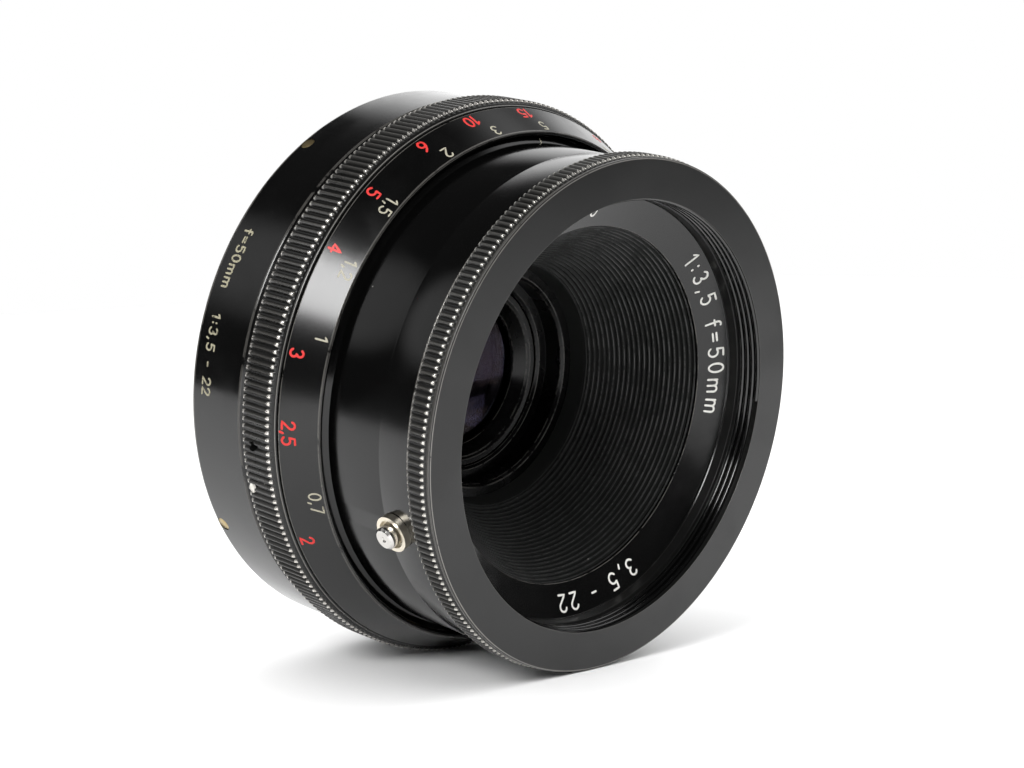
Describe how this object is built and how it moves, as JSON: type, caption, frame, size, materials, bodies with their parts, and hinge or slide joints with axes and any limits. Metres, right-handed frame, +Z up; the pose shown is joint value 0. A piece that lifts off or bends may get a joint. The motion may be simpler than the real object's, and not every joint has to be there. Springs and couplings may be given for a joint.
{
  "type": "manual-focus lens",
  "caption": "Manual-focus lens head with a knurled focus ring, distance scale, sliding front barrel, aperture ring and a sprung release plunger.",
  "frame": {"origin": "centre of the rear mounting face, on the optical axis", "axes": "the front of the lens looks towards -Y, the rear mounting thread points along +Y, +Z is up with the index line near the top"},
  "size_m": [0.065, 0.0397, 0.065],
  "materials": {
    "gloss_black": "gloss lacquer with worn edges",
    "knurl_black": "lacquered knurl with bright worn tooth ends",
    "satin_bezel": "satin anodised",
    "name_black": "satin with white engraved marks",
    "baffle_black": "matt ribbed",
    "inner_black": "semi-gloss black",
    "brass": "turned",
    "plain_alloy": "turned",
    "steel": "polished",
    "grip_screw": "blackened",
    "blade": "blued",
    "coated_glass": "violet coating"
  },
  "bodies": {
    "mount": {"rear_flange": "inner_black", "flange_screws": "steel", "rear_collar": "gloss_black", "collar_screws": "brass", "bearing_housing": "plain_alloy", "guide_tube": "plain_alloy", "guide_screws": "steel", "guide_keys": "brass", "thrust_washer": "brass"},
    "focus_ring": {"focus_grip_ring": "knurl_black", "distance_scale_ring": "gloss_black", "focusing_helicoid": "brass", "helicoid_retaining_ring": "plain_alloy", "grip_screws": "grip_screw", "focus_stop_pin": "steel"},
    "barrel": {"front_barrel": "gloss_black", "index_skirt": "gloss_black", "barrel_helicoid": "brass", "lens_tube": "inner_black", "bulkhead_screws": "steel", "filter_bezel_ring": "satin_bezel", "name_ring": "name_black", "ribbed_baffle": "baffle_black", "front_cell": "inner_black", "front_keeper_ring": "inner_black", "front_element": "coated_glass", "element_spacer": "inner_black", "second_element": "coated_glass", "iris_housing": "inner_black", "iris_screws": "steel", "rear_cell": "inner_black", "rear_doublet_front": "coated_glass", "rear_doublet_back": "coated_glass", "rear_keeper_ring": "inner_black", "release_boss": "brass", "release_spring": "steel"},
    "aperture": {"aperture_ring": "knurl_black", "aperture_drive_fork": "inner_black", "iris_drive_ring": "inner_black"},
    "plunger": {"release_plunger": "steel"},
    "blade_1": {"iris_blade_1": "blade"},
    "blade_2": {"iris_blade_2": "blade"},
    "blade_3": {"iris_blade_3": "blade"},
    "blade_4": {"iris_blade_4": "blade"},
    "blade_5": {"iris_blade_5": "blade"},
    "blade_6": {"iris_blade_6": "blade"}
  },
  "joints": [
    {"name": "focus_turn", "type": "hinge", "parent": "mount", "child": "focus_ring", "pos_m": [0, 0, 0], "axis": [0, 1, 0], "range_deg": [-25, 125]},
    {"name": "barrel_slide", "type": "slide", "parent": "mount", "child": "barrel", "axis": [0, -1, 0], "range_m": [-0.00084, 0.00417]},
    {"name": "aperture_turn", "type": "hinge", "parent": "barrel", "child": "aperture", "pos_m": [0, 0, 0], "axis": [0, 1, 0], "range_deg": [0, 80]},
    {"name": "blade_1_pivot", "type": "hinge", "parent": "barrel", "child": "blade_1", "pos_m": [0, -0.003, 0.0124], "axis": [0, 1, 0], "range_deg": [0, 26]},
    {"name": "blade_2_pivot", "type": "hinge", "parent": "barrel", "child": "blade_2", "pos_m": [0.01074, -0.003, 0.0062], "axis": [0, 1, 0], "range_deg": [0, 26]},
    {"name": "blade_3_pivot", "type": "hinge", "parent": "barrel", "child": "blade_3", "pos_m": [0.01074, -0.003, -0.0062], "axis": [0, 1, 0], "range_deg": [0, 26]},
    {"name": "blade_4_pivot", "type": "hinge", "parent": "barrel", "child": "blade_4", "pos_m": [0, -0.003, -0.0124], "axis": [0, 1, 0], "range_deg": [0, 26]},
    {"name": "blade_5_pivot", "type": "hinge", "parent": "barrel", "child": "blade_5", "pos_m": [-0.01074, -0.003, -0.0062], "axis": [0, 1, 0], "range_deg": [0, 26]},
    {"name": "blade_6_pivot", "type": "hinge", "parent": "barrel", "child": "blade_6", "pos_m": [-0.01074, -0.003, 0.0062], "axis": [0, 1, 0], "range_deg": [0, 26]},
    {"name": "release_press", "type": "slide", "parent": "barrel", "child": "plunger", "axis": [0.9135, 0, 0.4067], "range_m": [0, 0.001], "stiffness_N_per_m": 300, "springref_m": -0.001, "deforming": ["release_spring"]}
  ],
  "couplings": [
    {"joint": "barrel_slide", "follows": "focus_turn", "m_per_rad": 0.0019099},
    {"joint": "blade_1_pivot", "follows": "aperture_turn", "ratio": 0.325},
    {"joint": "blade_2_pivot", "follows": "aperture_turn", "ratio": 0.325},
    {"joint": "blade_3_pivot", "follows": "aperture_turn", "ratio": 0.325},
    {"joint": "blade_4_pivot", "follows": "aperture_turn", "ratio": 0.325},
    {"joint": "blade_5_pivot", "follows": "aperture_turn", "ratio": 0.325},
    {"joint": "blade_6_pivot", "follows": "aperture_turn", "ratio": 0.325}
  ]
}
